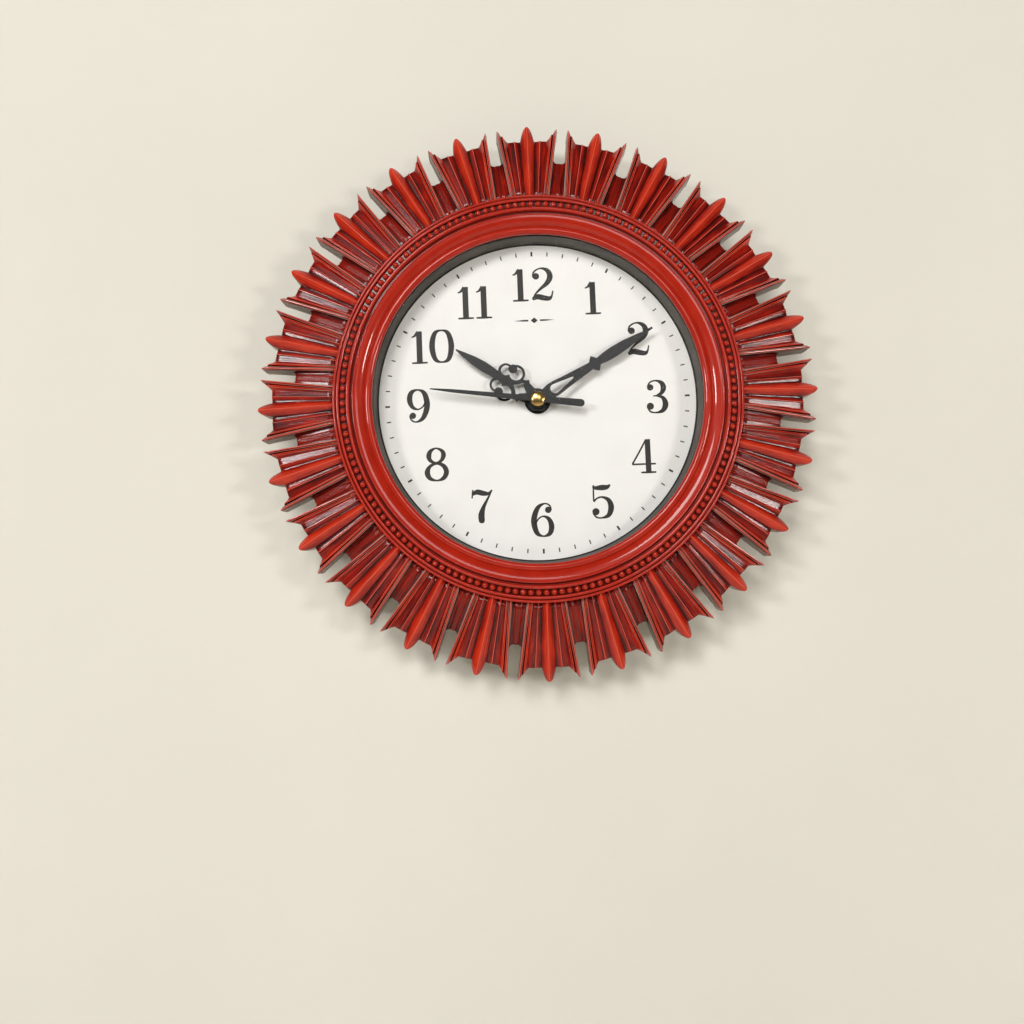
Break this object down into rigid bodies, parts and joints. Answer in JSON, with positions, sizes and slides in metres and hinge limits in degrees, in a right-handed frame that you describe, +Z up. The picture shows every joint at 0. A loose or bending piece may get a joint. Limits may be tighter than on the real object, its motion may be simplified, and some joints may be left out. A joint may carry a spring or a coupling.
{
  "type": "sunburst wall clock",
  "caption": "Round wall clock with a pleated sunburst frame, beaded bezel, white numeral dial, openwork hands and a battery movement with its gear train.",
  "frame": {"origin": "where the axis of the hands meets the wall plane", "axes": "+Z up, +X to the right of someone reading the dial, the dial faces -Y"},
  "size_m": [0.3, 0.0383, 0.3],
  "materials": {
    "sunburst_red": "satin red-brown paint with darker streaks over a moulded shell",
    "bezel_red": "glossy lacquered orange-red moulding",
    "lens": "clear flat lens",
    "grey_plastic": "matte grey moulding",
    "dial_paper": "matte printed card",
    "pan_plastic": "fine-grained black moulding",
    "screw_steel": "bright zinc",
    "case_plastic": "fine-grained black moulding",
    "brass": "turned and polished",
    "rubber": "matte",
    "board": "green solder mask",
    "tin_can": "drawn can",
    "resin": "cured resin",
    "bobbin": "natural nylon",
    "copper_wire": "enamelled copper wire",
    "stator_iron": "stamped silicon steel",
    "cell_wrap": "printed sleeve, no marks",
    "contact_steel": "nickel-plated spring strip",
    "gear_plastic": "natural acetal",
    "hand_black": "satin black lacquer on aluminium"
  },
  "bodies": {
    "case": {"sunburst": "sunburst_red", "bezel": "bezel_red", "glass": "lens", "spacer_ring": "grey_plastic", "dial_card": "dial_paper", "back_pan": "pan_plastic", "case_screws": "screw_steel", "hanger_plate": "screw_steel", "hanger_screws": "screw_steel", "movement_front": "case_plastic", "movement_rear": "case_plastic", "mounting_nut": "hand_black", "nut_washer": "hand_black", "rubber_gasket": "rubber", "circuit_board": "board", "quartz_crystal": "tin_can", "driver_chip": "resin", "coil_bobbin": "bobbin", "coil_winding": "copper_wire", "stator": "stator_iron", "positive_contact": "contact_steel", "negative_contact": "contact_steel"},
    "second_train": {"seconds_wheel": "gear_plastic", "second_hand": "hand_black", "hand_cap": "brass"},
    "minute_train": {"cannon_pinion": "gear_plastic", "minute_hand": "hand_black"},
    "hour_train": {"hour_wheel": "gear_plastic", "hour_hand": "hand_black"},
    "centre_gear": {"centre_wheel": "gear_plastic"},
    "third_gear": {"third_wheel": "gear_plastic"},
    "intermediate_gear": {"intermediate_wheel": "gear_plastic"},
    "rotor_gear": {"rotor": "gear_plastic"},
    "motion_gear": {"motion_wheel": "gear_plastic"},
    "knob": {"setting_knob": "case_plastic"},
    "cell": {"battery": "cell_wrap"}
  },
  "joints": [
    {"name": "second_hand_turn", "type": "hinge", "parent": "case", "child": "second_train", "pos_m": [0, 0, 0], "axis": [0, 1, 0], "continuous": true},
    {"name": "minute_hand_turn", "type": "hinge", "parent": "case", "child": "minute_train", "pos_m": [0, 0, 0], "axis": [0, 1, 0], "continuous": true},
    {"name": "hour_hand_turn", "type": "hinge", "parent": "case", "child": "hour_train", "pos_m": [0, 0, 0], "axis": [0, 1, 0], "continuous": true},
    {"name": "centre_wheel_turn", "type": "hinge", "parent": "case", "child": "centre_gear", "pos_m": [0, 0, 0], "axis": [0, 1, 0], "continuous": true},
    {"name": "third_wheel_turn", "type": "hinge", "parent": "case", "child": "third_gear", "pos_m": [0.0054, 0, 0.00935], "axis": [0, 1, 0], "continuous": true},
    {"name": "intermediate_wheel_turn", "type": "hinge", "parent": "case", "child": "intermediate_gear", "pos_m": [-0.01046, 0, -0.00092], "axis": [0, 1, 0], "continuous": true},
    {"name": "rotor_turn", "type": "hinge", "parent": "case", "child": "rotor_gear", "pos_m": [-0.01825, 0, 0.00359], "axis": [0, 1, 0], "continuous": true},
    {"name": "motion_wheel_turn", "type": "hinge", "parent": "case", "child": "motion_gear", "pos_m": [0.00811, 0, -0.00217], "axis": [0, 1, 0], "continuous": true},
    {"name": "setting_knob_turn", "type": "hinge", "parent": "case", "child": "knob", "pos_m": [0.01573, 0, 0.00138], "axis": [0, 1, 0], "continuous": true},
    {"name": "battery_slide", "type": "slide", "parent": "case", "child": "cell", "axis": [0, 1, 0], "range_m": [0, 0.02]}
  ],
  "couplings": [
    {"joint": "centre_wheel_turn", "follows": "second_hand_turn", "ratio": 0.016667},
    {"joint": "third_wheel_turn", "follows": "second_hand_turn", "ratio": -0.13333},
    {"joint": "intermediate_wheel_turn", "follows": "second_hand_turn", "ratio": -6},
    {"joint": "rotor_turn", "follows": "second_hand_turn", "ratio": 30},
    {"joint": "hour_hand_turn", "follows": "minute_hand_turn", "ratio": 0.083333},
    {"joint": "motion_wheel_turn", "follows": "minute_hand_turn", "ratio": -0.33333},
    {"joint": "setting_knob_turn", "follows": "minute_hand_turn", "ratio": 1}
  ]
}
